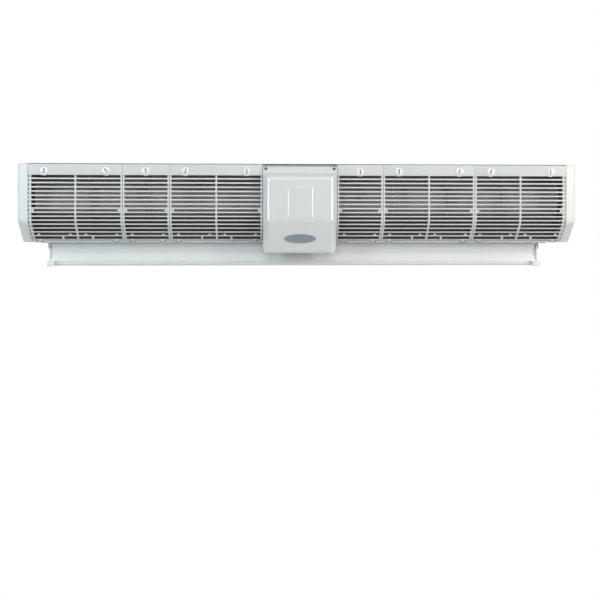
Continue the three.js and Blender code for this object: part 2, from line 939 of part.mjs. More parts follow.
function panelPieces() {
  const panels = new THREE.Group();
  const shells = { 1: grillePanel(1), 2: grillePanel(2) };
  const lock = quarterTurnLock();
  let lockNumber = 0;
  panelEdges().forEach(({ x, sections }, i) => {
    const panel = new THREE.Group();
    panel.position.x = x + gap / 2;
    panel.add(piece(`grille_panel_${i + 1}`, shells[sections], grillePlastic));
    for (const place of lockPlaces(sections)) {
      lockNumber += 1;
      const turned = piece(`panel_lock_${lockNumber}`, lock, lockPlastic);
      turned.position.set(place - gap / 2, 0, bodyTop - lockDrop);
      panel.add(turned);
    }
    panels.add(panel);
  });
  return panels;
}

function badgePiece() {
  const slope = Math.atan2(coverFootY - flangeFace + coverProud, coverBend - coverFoot);
  const emblem = piece("blank_badge", badge(), badgePlastic);
  const faceY = flangeFace - coverProud + badgeDrop * Math.tan(slope);
  const lift = badgeThickness / 2 + gap;
  const z = coverBend - badgeDrop - lift * Math.sin(slope);
  emblem.position.set(0, faceY - lift * Math.cos(slope), z);
  emblem.rotation.x = slope;
  return emblem;
}

function airCurtain() {
  const whole = new THREE.Group();
  whole.add(piece("mounting_plate", mountingPlate(), galvanised));
  whole.add(piece("chassis", chassis(), paintedSteel));
  whole.add(piece("lower_rail", lowerRail(), paintedSteel));
  whole.add(piece("compartment_floor", compartmentFloor(), paintedSteel));
  whole.add(piece("motor_bracket", motorBracket(), galvanised));
  whole.add(piece("capacitor", capacitor(), capacitorWhite));
  whole.add(piece("capacitor_clip", capacitorClip(), galvanised));
  whole.add(piece("terminal_block", terminalBlock(), capacitorWhite));
  whole.add(piece("cable_grommet", cableGrommet(), blackRubber));
  whole.add(piece("centre_cover", centreCover(), whitePlastic));
  whole.add(badgePiece());
  whole.add(motorPieces());
  whole.add(panelPieces());
  whole.add(vanePieces());

  const rightSide = sidePieces("right");
  const leftSide = sidePieces("left");
  leftSide.scale.x = -1;
  whole.add(rightSide, leftSide);
  return whole;
}

export default airCurtain();
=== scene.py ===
import bmesh
import bpy
import json
import math
from mathutils import Matrix, Vector

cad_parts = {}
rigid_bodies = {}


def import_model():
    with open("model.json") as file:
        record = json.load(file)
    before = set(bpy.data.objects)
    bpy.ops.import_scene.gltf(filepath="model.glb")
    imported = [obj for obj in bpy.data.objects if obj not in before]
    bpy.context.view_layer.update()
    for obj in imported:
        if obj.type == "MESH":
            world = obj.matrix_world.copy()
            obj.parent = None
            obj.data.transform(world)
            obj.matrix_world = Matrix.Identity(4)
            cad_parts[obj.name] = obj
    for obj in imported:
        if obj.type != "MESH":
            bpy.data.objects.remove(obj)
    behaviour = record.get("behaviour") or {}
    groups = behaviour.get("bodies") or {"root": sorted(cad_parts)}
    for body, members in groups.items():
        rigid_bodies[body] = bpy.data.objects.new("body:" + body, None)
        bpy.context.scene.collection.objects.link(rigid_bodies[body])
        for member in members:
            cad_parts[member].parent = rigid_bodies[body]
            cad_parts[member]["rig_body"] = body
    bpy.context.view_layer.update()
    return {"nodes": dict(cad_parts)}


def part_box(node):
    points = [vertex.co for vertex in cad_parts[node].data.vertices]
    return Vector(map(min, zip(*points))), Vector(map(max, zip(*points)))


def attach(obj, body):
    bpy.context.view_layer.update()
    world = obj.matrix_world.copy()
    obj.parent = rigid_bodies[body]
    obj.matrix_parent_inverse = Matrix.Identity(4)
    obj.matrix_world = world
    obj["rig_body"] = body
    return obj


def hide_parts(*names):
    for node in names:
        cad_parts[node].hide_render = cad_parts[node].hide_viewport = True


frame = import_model()
scene = bpy.context.scene
mm = 0.001  # shapes are drawn in millimetres and made in metres
print("frame loaded:", len(frame["nodes"]), "nodes")


# camera: a little left of the middle, level with the casing, looking slightly to the right
shot = {
    "place": (-0.112, -2.833, -0.010),
    "turn": (90.0, -0.1, -2.437),  # degrees; the small roll lowers the right end
    "lens": 58.75,
    "sensor": 36,
    "farthest": 50,
    "shiftY": -0.1557,
}


def makeCamera():
    data = bpy.data.cameras.new("camera")
    data.lens = shot["lens"]
    data.sensor_width = shot["sensor"]
    data.shift_y = shot["shiftY"]
    data.clip_end = shot["farthest"]
    camera = bpy.data.objects.new("camera", data)
    camera.location = shot["place"]
    camera.rotation_euler = [math.radians(angle) for angle in shot["turn"]]
    scene.collection.objects.link(camera)
    scene.camera = camera


makeCamera()
print("camera set")


# outlines are lists of (y, z) points seen from the side

def rounded(points, radii, steps=5, closed=True):
    # true arcs in the corners, with the same number of points whatever the radius
    if not hasattr(radii, "__len__"):
        radii = [radii] * len(points)
    out = []
    for i, corner in enumerate(points):
        here = Vector(corner)
        if radii[i] == 0 or (not closed and i in (0, len(points) - 1)):
            out.append(tuple(here))
            continue
        before = Vector(points[i - 1]) - here
        after = Vector(points[(i + 1) % len(points)]) - here
        half = before.angle(after) / 2
        reach = min(radii[i] / math.tan(half), before.length * 0.49, after.length * 0.49)
        start = here + before.normalized() * reach
        end = here + after.normalized() * reach
        weight = math.sin(half)
        for k in range(steps + 1):
            t = k / steps
            a, b, c = (1 - t) ** 2, 2 * weight * t * (1 - t), t * t
            out.append(tuple((start * a + here * b + end * c) / (a + b + c)))
    return out


def shrunk(outline, inset):
    # a closed outline moved inwards
    if inset == 0:
        return outline
    points = [Vector(p) for p in outline]
    area = sum(a.cross(b) for a, b in zip(points, points[1:] + points[:1]))
    side = 1 if area > 0 else -1
    out = []
    for i, here in enumerate(points):
        into = (here - points[i - 1]).normalized()
        away = (points[(i + 1) % len(points)] - here).normalized()
        along = (into + away).normalized()
        reach = inset / max(along.dot(into), 0.3)
        out.append((here.x - along.y * reach * side, here.y + along.x * reach * side))
    return out


def bentSheet(path, thickness):
    # the closed outline of a folded sheet: the path, and the path moved to its left
    points = [Vector(p) for p in path]
    runs = [(b - a).normalized() for a, b in zip(points, points[1:])]
    moved = []
    for i, here in enumerate(points):
        into = runs[max(i - 1, 0)]
        away = runs[min(i, len(runs) - 1)]
        along = (into + away).normalized()
        reach = thickness / along.dot(into)
        moved.append((here.x - along.y * reach, here.y + along.x * reach))
    return [tuple(p) for p in path] + moved[::-1]


# shapes are (points, faces)

def loft(rings, loop=True, capped=True):
    count = len(rings[0])
    points = [p for ring in rings for p in ring]
    faces = []
    for ring in range(len(rings) - 1):
        for i in range(count if loop else count - 1):
            a = ring * count + i
            b = ring * count + (i + 1) % count
            faces.append((a, b, b + count, a + count))
    if capped:
        faces.append(tuple(range(count))[::-1])
        faces.append(tuple(range(len(points) - count, len(points))))
    return points, faces


def slab(outline, x0, x1, edge=0.5):
    # the outline drawn out along X, with rounded edges at both ends
    stations = [(x0, edge), (x0 + edge * 0.3, edge * 0.3), (x0 + edge, 0)]
    if edge == 0:
        stations = [(x0, 0)]
    stations += [(x0 + x1 - x, inset) for x, inset in stations[::-1]]
    return loft([[(x, y, z) for y, z in shrunk(outline, inset)] for x, inset in stations])


def block(x0, x1, y0, y1, z0, z1, radius=0.8):
    corners = [(y0, z0), (y1, z0), (y1, z1), (y0, z1)]
    return slab(rounded(corners, radius, 3), x0, x1, radius * 0.7)


def lathe(profile, centre, axis="X", steps=48, ring=False):
    # (along, radius) points turned about an axis through the centre; a ring closes on itself
    rings = []
    for along, radius in profile:
        circle = []
        for k in range(steps):
            angle = 2 * math.pi * k / steps
            u, v = radius * math.cos(angle), radius * math.sin(angle)
            local = (along, u, v) if axis == "X" else (u, along, v)
            circle.append(tuple(Vector(local) + Vector(centre)))
        rings.append(circle)
    if ring:
        rings.append(rings[0])
    return loft(rings, capped=not ring)


def joined(shapes):
    points, faces = [], []
    for morePoints, moreFaces in shapes:
        start = len(points)
        points += morePoints
        faces += [tuple(i + start for i in face) for face in moreFaces]
    return points, faces


def turned(shape, angle, axis, centre):
    spin = Matrix.Rotation(angle, 3, axis)
    middle = Vector(centre)
    return [tuple(spin @ (Vector(p) - middle) + middle) for p in shape[0]], shape[1]


def mirrored(shape):
    return [(-x, y, z) for x, y, z in shape[0]], [face[::-1] for face in shape[1]]


def meshOf(name, shape, smooth=32):
    mesh = bpy.data.meshes.new(name)
    mesh.from_pydata([Vector(p) * mm for p in shape[0]], [], shape[1])
    work = bmesh.new()
    work.from_mesh(mesh)
    bmesh.ops.remove_doubles(work, verts=work.verts, dist=0.002 * mm)
    bmesh.ops.dissolve_degenerate(work, edges=work.edges, dist=0.001 * mm)
    bmesh.ops.recalc_face_normals(work, faces=work.faces)
    work.to_mesh(mesh)
    work.free()
    mesh.shade_smooth()
    mesh.set_sharp_from_angle(angle=math.radians(smooth))
    return mesh


def cutAway(target, cutters):
    # the cutters' shapes taken out of the target's mesh
    for number, shape in enumerate(cutters):
        tool = bpy.data.objects.new(f"tool_{number}", meshOf("tool", shape))
        scene.collection.objects.link(tool)
        change = target.modifiers.new("cut", "BOOLEAN")
        change.operation = "DIFFERENCE"
        change.solver = "EXACT"
        change.use_self = True  # the target may be made of overlapping shapes
        change.object = tool
        bpy.context.view_layer.update()
        whole = target.evaluated_get(bpy.context.evaluated_depsgraph_get())
        mesh = bpy.data.meshes.new_from_object(whole)
        target.modifiers.clear()
        target.data = mesh
        bpy.data.objects.remove(tool)
    target.data.shade_smooth()
    target.data.set_sharp_from_angle(angle=math.radians(32))


def makePiece(name, shape, finishName, body, stands=(), smooth=32, cutters=()):
    piece = bpy.data.objects.new(name, meshOf(name, shape, smooth))
    scene.collection.objects.link(piece)
    if cutters:
        cutAway(piece, cutters)
    piece.data.materials.clear()
    piece.data.materials.append(finishes[finishName])
    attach(piece, body)
    if stands:
        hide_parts(*stands)
    return piece


def boxOf(node):
    low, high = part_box(node)
    return low / mm, high / mm


def centreOf(node):
    low, high = boxOf(node)
    return (low + high) / 2


def bodyOf(node):
    return frame["nodes"][node]["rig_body"]


def standIn(node, shape, finishName, smooth=32, cutters=()):
    # a finer piece in the place of the CAD node of the same name
    return makePiece(node + "_skin", shape, finishName, bodyOf(node), [node], smooth, cutters)


# finishes: each is one procedural material; grain is in millimetres
looks = {
    "white_plastic": {
        "colour": (0.72, 0.75, 0.735), "rough": 0.24, "coat": 0.9,
        "grain": 1.4, "bump": 0.006, "cloud": 0.015,
    },
    "cap_plastic": {
        "colour": (0.72, 0.755, 0.735), "rough": 0.35,
        "grain": 1.4, "bump": 0.01, "cloud": 0.015,
    },
    "grille_plastic": {
        "colour": (0.72, 0.745, 0.735), "rough": 0.36,
        "grain": 1.3, "bump": 0.015, "cloud": 0.02,
    },
    "lock_plastic": {
        "colour": (0.90, 0.92, 0.91), "rough": 0.2, "coat": 1.0,
        "grain": 0.9, "bump": 0.008, "cloud": 0.015,
    },
    "ear_plastic": {
        "colour": (0.84, 0.86, 0.86), "rough": 0.3,
        "grain": 1.4, "bump": 0.01, "cloud": 0.015,
    },
    "vane_paint": {
        "colour": (0.79, 0.82, 0.81), "rough": 0.3,
        "grain": 1.8, "bump": 0.025, "cloud": 0.03,
    },
    # mid grey steel; on the chassis it also darkens the casing's top edge as painted shade
    "painted_steel": {
        "colour": (0.52, 0.54, 0.54), "rough": 0.42,
        "grain": 1.8, "bump": 0.06, "cloud": 0.05,
    },
    # grey that is partly the rail's paint and partly painted shade of the strip under the grille; the
    # outlet lip and the panels' hinge lugs take it too
    "rail_grey_and_shade": {
        "colour": (0.56, 0.57, 0.58), "rough": 0.5,
        "grain": 1.8, "bump": 0.05, "cloud": 0.06,
    },
    "galvanised_steel": {
        "colour": (0.43, 0.445, 0.46), "rough": 0.38, "metal": 0.85,
        "grain": 7, "bump": 0.04, "cloud": 0.12, "flakes": True,
    },
    # near black as painted shade: the cut-off sheet stands where the lower gaps of the grille are in shade
    "baffle_painted_shade": {
        "colour": (0.155, 0.145, 0.165), "rough": 0.5, "metal": 0.4,
        "grain": 2.5, "bump": 0.05, "cloud": 0.15,
    },
    "impeller_plastic": {
        "colour": (0.57, 0.485, 0.515), "rough": 0.55,
        "grain": 2.5, "bump": 0.10, "cloud": 0.22,
    },
    "motor_paint": {
        "colour": (0.10, 0.105, 0.11), "rough": 0.42, "metal": 0.2,
        "grain": 1.4, "bump": 0.15, "cloud": 0.15,
    },
    "cast_alloy": {
        "colour": (0.42, 0.43, 0.44), "rough": 0.48, "metal": 0.8,
        "grain": 1.2, "bump": 0.25, "cloud": 0.15,
    },
    "bright_steel": {
        "colour": (0.60, 0.61, 0.62), "rough": 0.24, "metal": 1.0,
        "grain": 0.8, "bump": 0.04, "cloud": 0.10,
    },
    # dark steel of the cover screws, and the painted shade at the bottom of the lock slots
    "dark_screw": {
        "colour": (0.115, 0.11, 0.11), "rough": 0.36, "metal": 0.7,
        "grain": 0.6, "bump": 0.06, "cloud": 0.20,
    },
    # black rubber of the bearing housings, motor rings and grommet, and the painted shade of the strip
    # above the panels
    "black_rubber": {
        "colour": (0.022, 0.022, 0.023), "rough": 0.72,
        "grain": 0.7, "bump": 0.12, "cloud": 0.25,
    },
    "electrical_plastic": {
        "colour": (0.66, 0.65, 0.60), "rough": 0.42,
        "grain": 1.0, "bump": 0.06, "cloud": 0.08,
    },
    "badge_plastic": {
        "colour": (0.27, 0.305, 0.345), "rough": 0.42,
        "grain": 0.5, "bump": 0.02, "cloud": 0.03,
    },
}


def makeFinish(name, look):
    material = bpy.data.materials.new(name)
    material.use_nodes = True
    nodes, links = material.node_tree.nodes, material.node_tree.links
    shader = nodes["Principled BSDF"]
    shader.inputs["Metallic"].default_value = look.get("metal", 0)
    shader.inputs["Coat Weight"].default_value = look.get("coat", 0)
    shader.inputs["Coat Roughness"].default_value = 0.05
    place = nodes.new("ShaderNodeTexCoord")

    def noise(size, detail, rough=0.5):
        # size is the width of one grain in millimetres
        node = nodes.new("ShaderNodeTexNoise")
        node.inputs["Scale"].default_value = 1 / (size * mm)
        node.inputs["Detail"].default_value = detail
        node.inputs["Roughness"].default_value = rough
        links.new(place.outputs["Object"], node.inputs["Vector"])
        return node

    def between(source, low, high):
        # the textures keep mostly between 0.3 and 0.7
        node = nodes.new("ShaderNodeMapRange")
        node.inputs["From Min"].default_value = 0.3
        node.inputs["From Max"].default_value = 0.7
        node.inputs["To Min"].default_value = low
        node.inputs["To Max"].default_value = high
        links.new(source, node.inputs["Value"])
        return node.outputs["Result"]

    # broad clouds of slightly darker and lighter tone, with a finer mottle in them
    cloudSize, mottleSize = 90, 6
    depth = look["cloud"]
    cloud = noise(cloudSize, 4, 0.6)
    mottle = noise(mottleSize, 3)
    if look.get("flakes"):  # the crystals of hot-dip zinc
        mottle = nodes.new("ShaderNodeTexVoronoi")
        mottle.inputs["Scale"].default_value = 1 / (look["grain"] * mm)
        links.new(place.outputs["Object"], mottle.inputs["Vector"])
    strength = nodes.new("ShaderNodeMath")
    strength.operation = "MULTIPLY"
    links.new(between(cloud.outputs[0], 1 - depth, 1 + depth * 0.4), strength.inputs[0])
    links.new(between(mottle.outputs[0], 1 - depth * 0.5, 1 + depth * 0.2), strength.inputs[1])
    tone = nodes.new("ShaderNodeVectorMath")
    tone.operation = "SCALE"
    tone.inputs[0].default_value = look["colour"]
    links.new(strength.outputs[0], tone.inputs["Scale"])
    links.new(tone.outputs["Vector"], shader.inputs["Base Color"])
    shine = between(mottle.outputs[0], look["rough"] * 0.88, look["rough"] * 1.15)
    links.new(shine, shader.inputs["Roughness"])

    grain = noise(look["grain"], 3, 0.55)
    bump = nodes.new("ShaderNodeBump")
    bump.inputs["Strength"].default_value = look["bump"]
    bump.inputs["Distance"].default_value = 0.2 * mm
    links.new(grain.outputs[0], bump.inputs["Height"])
    links.new(bump.outputs["Normal"], shader.inputs["Normal"])
    return material


finishes = {name: makeFinish(name, look) for name, look in looks.items()}
print("finishes made:", len(finishes))


# the front of the casing seen from the side: straight, then bent back under it
casing = {
    "top": 105,
    "bottom": -108,
    "front": -200,
    "bendStart": -38,
    "bendRadius": 40,
    "bendAngle": 47,
}
slope = math.tan(math.radians(casing["bendAngle"]))


def frontY(z, inset=0):
    radius = casing["bendRadius"] - inset
    drop = casing["bendStart"] - z
    if drop <= 0:
        return casing["front"] + inset
    bent = math.radians(casing["bendAngle"])
    arcDrop = radius * math.sin(bent)
    middle = casing["front"] + casing["bendRadius"]
    if drop < arcDrop:
        return middle - math.sqrt(radius**2 - drop**2)
    return middle - radius * math.cos(bent) + (drop - arcDrop) * slope


def frontLine(top, bottom, inset=0, steps=9):
    # points down the front between two heights, close together in the bend
    radius = casing["bendRadius"] - inset
    heights = [top]
    for k in range(steps + 1):
        angle = math.radians(casing["bendAngle"]) * k / steps
        heights.append(casing["bendStart"] - radius * math.sin(angle))
    heights.append(bottom)
    return [(frontY(z, inset), z) for z in heights if bottom <= z <= top]


# grille panels: a top band, rows of slats, ribs across them and two lugs on the hinge line
grille = {
    "depth": 10,
    "wall": 2.5,
    "top": 103.1,
    "bottom": -101.5,
    "rows": 16,
    "upperRows": 9,
    "firstGap": 69.8,
    "upperPitch": 11.33,
    "lowerPitch": 10.6,
    "gap": 7.0,
    "section": 125,
    "thinRib": 4.2,
    "proud": 0.35,
    "endProud": 0.15,
    "crown": 0.1,
    "slatRound": [1.6, 0, 1.6, 0.6, 0.6],
    "bandRound": [1.5, 3, 0.5, 0.5, 1, 1, 0.5, 0.5],
    "bandLip": 4,
    "seamEdge": 1.4,  # rounding of the band's ends, which makes the dark seams
}
# ribs at one end of a panel, as (start, end) from that end
endRibs = {
    "cap": [(0, 0.9), (3.3, 8.0)],
    "cover": [(0, 0.5), (1.9, 5.4)],
    "joint": [(0.7, 4.8)],
}
lockPlaces = {1: [62.35], 2: [42.85, 206.85]}  # from the left end of a single and a double panel
lockRing = [(-199.8, 11.4), (-200.3, 11.8), (-200.45, 12.4), (-200.3, 13), (-199.8, 13.6)]
tab = {"gap": 8, "length": 5, "front": 1.5, "back": 8, "halfHeight": 3.2}
tooth = {
    "gap": 14,
    "left": 22,
    "right": 19,
    "half": 4.5,
    "rise": 0.8,
    "drop": 3.4,
    "front": 1,
    "back": 8,
    "taper": 0.35,
}
bridge = {"gap": 15, "shift": 40, "half": 2.4, "front": 0.5, "back": 9, "halfHeight": 3.4}
hinge = {"y": -150, "z": -104.5, "inset": 22, "half": 6, "radius": 2, "edge": 0.4, "web": 1.2}


def gapCentre(row):
    lower = max(row - grille["upperRows"] + 1, 0)
    return grille["firstGap"] - (row - lower) * grille["upperPitch"] - lower * grille["lowerPitch"]


def slatOutline(top, bottom):
    middle = (top + bottom) / 2
    corners = [
        (frontY(top), top),
        (frontY(middle) - grille["crown"], middle),
        (frontY(bottom), bottom),
        (frontY(bottom, grille["depth"]), bottom + 0.5),
        (frontY(top, grille["depth"]), top - 0.5),
    ]
    return rounded(corners, grille["slatRound"], 4)


def ribOutline(top, bottom, proud):
    front = frontLine(top, bottom, -proud)
    back = frontLine(top, bottom, grille["depth"])
    return front + back[::-1]


def bandBottom():
    return gapCentre(0) + grille["gap"] / 2


def bandOutline():
    front, top, bottom = casing["front"], grille["top"], bandBottom()
    back, wall, fold = front + grille["depth"], grille["wall"], grille["bandLip"]
    corners = [
        (front, bottom), (front, top), (back, top), (back, top - wall),
        (front + wall, top - wall), (front + wall, bottom + fold), (back, bottom + fold), (back, bottom),
    ]
    return rounded(corners, grille["bandRound"], 5)


def slatShapes(x0, x1):
    half, inset = grille["gap"] / 2, 0.15
    shapes = [slab(bandOutline(), x0, x1, grille["seamEdge"])]
    for row in range(grille["rows"] - 1):
        outline = slatOutline(gapCentre(row) - half, gapCentre(row + 1) + half)
        shapes.append(slab(outline, x0 + inset, x1 - inset, 0.3))
    lowest = slatOutline(gapCentre(grille["rows"] - 1) - half, grille["bottom"])
    return shapes + [slab(lowest, x0, x1, 0.4)]


def ribShapes(x0, x1, leftKind, rightKind):
    ends = [(x0 + a, x0 + b) for a, b in endRibs[leftKind]]
    ends += [(x1 - b, x1 - a) for a, b in endRibs[rightKind]]
    outline = ribOutline(bandBottom() + 0.6, grille["bottom"], grille["endProud"])
    shapes = [slab(outline, a, b, 0.4) for a, b in ends]
    outline = ribOutline(bandBottom() + 1, grille["bottom"], grille["proud"])
    half = grille["thinRib"] / 2
    for section in range(1, round((x1 - x0) / grille["section"])):
        x = x0 + section * grille["section"]
        shapes.append(slab(outline, x - half, x + half, 0.8))
    return shapes


def tabShapes(x0, x1, leftKind, rightKind):
    # square tabs in one of the gaps, beside the end ribs
    z = gapCentre(tab["gap"])
    y, half = frontY(z), tab["halfHeight"]
    reach = tab["length"] + grille["gap"] / 2
    shapes = []
    for kind, edge, way in ((leftKind, x0, 1), (rightKind, x1, -1)):
        start = max(rib[1] for rib in endRibs[kind]) - 1
        ends = sorted([edge + way * start, edge + way * (start + reach)])
        shapes.append(block(*ends, y + tab["front"], y + tab["back"], z - half, z + half, 0.6))
    return shapes


def toothShape(place, y, z):
    # a pointed lug that narrows upwards
    front, back = y + tooth["front"], y + tooth["back"]
    top, bottom = z + tooth["rise"], z - tooth["drop"]
    outline = rounded([(front, top), (front, bottom), (back, bottom), (back, top)], 0.5, 2)
    points, faces = slab(outline, place - tooth["half"], place + tooth["half"], 0.5)
    points = [(place + (px - place) * (tooth["taper"] if pz > z else 1), py, pz) for px, py, pz in points]
    return points, faces


def toothShapes(x0, sections):
    z = gapCentre(tooth["gap"])
    shapes = []
    for section in range(sections):
        start = x0 + section * grille["section"]
        for place in (start + tooth["left"], start + grille["section"] - tooth["right"]):
            shapes.append(toothShape(place, frontY(z), z))
    return shapes


def bridgeShapes(x0):
    # small bridges in the lowest gap, on both sides of a double panel's middle rib
    z = gapCentre(bridge["gap"])
    y, half, tall = frontY(z), bridge["half"], bridge["halfHeight"]
    shapes = []
    for shift in (-bridge["shift"], bridge["shift"]):
        x = x0 + grille["section"] + shift
        sides = (x - half, x + half, y + bridge["front"], y + bridge["back"])
        shapes.append(block(*sides, z - tall, z + tall, 0.6))
    return shapes


def lockSeat(x):
    # a shallow raised ring that the lock's head lies in
    return lathe(lockRing, (x, 0, centreOf("panel_lock_1").z), "Y", 40, ring=True)


def panelShape(x0, x1, leftKind, rightKind):
    sections = round((x1 - x0) / grille["section"])
    shapes = slatShapes(x0, x1)
    shapes += ribShapes(x0, x1, leftKind, rightKind)
    shapes += tabShapes(x0, x1, leftKind, rightKind)
    shapes += toothShapes(x0, sections)
    if sections == 2:
        shapes += bridgeShapes(x0)
    shapes += [lockSeat(x0 + place) for place in lockPlaces[sections]]
    return joined(shapes)


def lugShape(x0, x1):
    # two round lugs on the hinge line, each on a web under the panel
    radius, edge, web = hinge["radius"], hinge["edge"], hinge["web"]
    y, z = hinge["y"], hinge["z"]
    shapes = []
    for place in (x0 + hinge["inset"], x1 - hinge["inset"]):
        a, b = place - hinge["half"], place + hinge["half"]
        profile = [
            (a, 0), (a, radius - edge), (a + edge, radius),
            (b - edge, radius), (b, radius - edge), (b, 0),
        ]
        shapes.append(lathe(profile, (0, y, z), "X", 24))
        shapes.append(block(a, b, y - web, y + web, z, grille["bottom"] + 1, 0.3))
    return joined(shapes)


def makePanels():
    kinds = [("cap", "joint"), ("joint", "joint"), ("joint", "cover"),
             ("cover", "joint"), ("joint", "joint"), ("joint", "cap")]
    for number, (left, right) in enumerate(kinds, 1):
        node = f"grille_panel_{number}"
        low, high = boxOf(node)
        standIn(node, panelShape(low.x, high.x, left, right), "grille_plastic")
        # the lugs take the rail's grey as painted shade, so that they sink into the dark strip at the foot
        makePiece(f"panel_lugs_{number}", lugShape(low.x, high.x), "rail_grey_and_shade", bodyOf(node))


# a black strip, drawn as a seal that the panels close against, along the casing's upper edge: painted
# shade for the dark line at the top
seamShade = {"half": 724.5, "front": -191.5, "back": -188.2, "low": 103.3, "high": 104.9}


def makeSeamShade():
    front, back, low, high = seamShade["front"], seamShade["back"], seamShade["low"], seamShade["high"]
    outline = rounded([(front, low), (front, high), (back, high), (back, low)], 0.4, 3)
    makePiece("panel_seam_shade", slab(outline, -seamShade["half"], seamShade["half"], 0.4), "black_rubber", "casing")


makePanels()
makeSeamShade()
print("grille panels made")


# coin-slot locks: a domed head with a slot, a shank and an oval cam behind the lip, and a dark block in
# the slot as painted shade
lock = {
    "radius": 10.6,
    "face": -202.4,
    "back": -200.35,
    "dome": [(0, 4.4), (0.1, 5.4), (0.32, 6.6), (0.66, 7.8), (1.12, 9), (1.62, 10)],
    "domeDrop": 1.85,
    "shankRadius": 3.8,
    "shankEnd": -187,
    "cam": [(-189.4, 0), (-189.4, 5.4), (-182.8, 5.4), (-182.5, 5), (-182.5, 0)],
    "camSquash": 0.62,
    "slotWidth": 2.3,
    "slotLength": 14,
    "slotDepth": 4,
    "slotShadeFront": 1.1,  # painted shade: a dark block at the bottom of the slot
    "slotShadeBack": 3.6,
    "angles": [4, -38, -8, 14, 3, -10, 6, 12, 20, -4],
}


def lockShape(x, z):
    radius, face, back = lock["radius"], lock["face"], lock["back"]
    shankRadius, shankEnd = lock["shankRadius"], lock["shankEnd"]
    dome = [(face + drop, r) for drop, r in lock["dome"]]
    profile = [(face, 0)] + dome + [(face + lock["domeDrop"], radius), (back, radius), (back, 0)]
    head = lathe(profile, (x, 0, z), "Y", 56)
    stem = [(back - 0.1, 0), (back - 0.1, shankRadius), (shankEnd, shankRadius), (shankEnd, 0)]
    shank = lathe(stem, (x, 0, z), "Y", 24)
    points, faces = lathe(lock["cam"], (0, 0, 0), "Y", 32)
    cam = [(x + px * lock["camSquash"], py, z + pz) for px, py, pz in points], faces
    return joined([head, shank, cam])


def slotShape(x, z, angle, front, back, length, radius):
    half, face = lock["slotWidth"] / 2, lock["face"]
    bar = block(x - half, x + half, face + front, face + back, z - length / 2, z + length / 2, radius)
    return turned(bar, math.radians(angle), "Y", (x, 0, z))


def makeLocks():
    length = lock["slotLength"]
    for number, angle in enumerate(lock["angles"], 1):
        node = f"panel_lock_{number}"
        x, z = centreOf(node).x, centreOf(node).z
        slot = slotShape(x, z, angle, -3, lock["slotDepth"], length, 0.5)
        standIn(node, lockShape(x, z), "lock_plastic", 40, [slot])
        # a dark block in the slot, whose colour is painted shade
        insert = slotShape(x, z, angle, lock["slotShadeFront"], lock["slotShadeBack"], length - 0.6, 0.2)
        makePiece(f"lock_slot_shade_{number}", insert, "dark_screw", bodyOf(node))


makeLocks()
print("locks made")


# end caps: moulded shells whose fronts curve away towards the sides
cap = {
    "wall": 2.5,
    "slope": 18,  # degrees that the front turns to the side
    "edgeRound": 5,
    "bend": -55.4,
    "bendRadius": 14,
    "cornerRound": [3, 9, 3, 3],  # front top, front bottom, back bottom, back top
    "back": -1,
    "innerSetback": 12,
    "steps": 7,
}


def capOutline(frontInset, edgeInset):
    top, bottom = casing["top"] - edgeInset, casing["bottom"] + edgeInset
    front = casing["front"] + frontInset
    bend = cap["bend"] + frontInset * math.tan(math.radians(casing["bendAngle"] / 2))
    foot = front + (bend - bottom) * slope
    back = cap["back"] - edgeInset
    frontTop, *others = cap["cornerRound"]
    corners = [(front, top), (front, bend), (foot, bottom), (back, bottom), (back, top)]
    return rounded(corners, [frontTop, cap["bendRadius"], *others], 6)


def capStations(start, outer):
    # (x, setback of the front, inset of the edges): level at the seam, leaning back, then rounded
    edge, lean = cap["edgeRound"], math.tan(math.radians(cap["slope"]))
    leanStart, firstDrop = start + 3, 0.45
    stations = [(start + 0.5, 0, 0), (start + 1.5, 0.05, 0), (leanStart, firstDrop, 0)]
    run = outer - edge - leanStart
    for k in range(1, 4):
        along = run * k / 3
        stations.append((leanStart + along, firstDrop + along * lean, 0))
    edgeStart, drop = stations[-1][0], stations[-1][1]
    for k in range(1, cap["steps"] + 1):
        angle = math.pi / 2 * k / cap["steps"]
        past = (outer - edgeStart) * math.sin(angle)
        fall = edge * (1 - math.cos(angle))
        stations.append((edgeStart + past, drop + past * lean + fall, fall))
    return stations


def capShape():
    low, high = boxOf("end_cap_right")
    start, outer, wall = low.x, high.x, cap["wall"]
    inner = wall + 3
    inside = [
        (outer - wall - 4, wall + cap["innerSetback"], inner),
        (start + 6, inner, inner),
        (start, wall, wall),
    ]
    stations = inside + [(start, 0.5, 0.4)] + capStations(start, outer)
    rings = []
    for x, frontInset, edgeInset in stations:
        rings.append([(x, y, z) for y, z in capOutline(frontInset, edgeInset)])
    return loft(rings)


def makeCaps():
    shape = capShape()
    standIn("end_cap_right", shape, "cap_plastic", 40)
    standIn("end_cap_left", mirrored(shape), "cap_plastic", 40)


makeCaps()
print("end caps made")


# centre cover: a flat flange on top, bevelled sides, and a lower part that bends back
cover = {
    "half": 99.5,
    "proud": 21,
    "flange": -203,
    "top": 97,
    "flangeBottom": 81,
    "faceTop": 70.5,
    "bend": -50,
    "foot": -131,
    "footY": -190,
    "facet": [(-87.2, 19.13), (-83.7, 21)],  # a flat strip between bevel and face, in plan
    "edgeFillet": 0.8,
    "bevelSteps": 9,
    "cornerRound": 12,
    "footLean": 6,
    "footLip": (6, 5),  # depth and height of the fold at the foot
    "backTop": (-188, -66),  # the side walls' edge follows the grille between these (y, z) points
    "backFoot": (-156, -104),
    "radii": [0, 1.6, 5, 14, 26, 3, 3, 0],
    "wall": 2.5,
}


def coverBackY(z):
    (topY, topZ), (footY, footZ) = cover["backTop"], cover["backFoot"]
    if z > topZ:
        return topY
    if z < footZ:
        return footY
    return topY + (topZ - z) / (topZ - footZ) * (footY - topY)


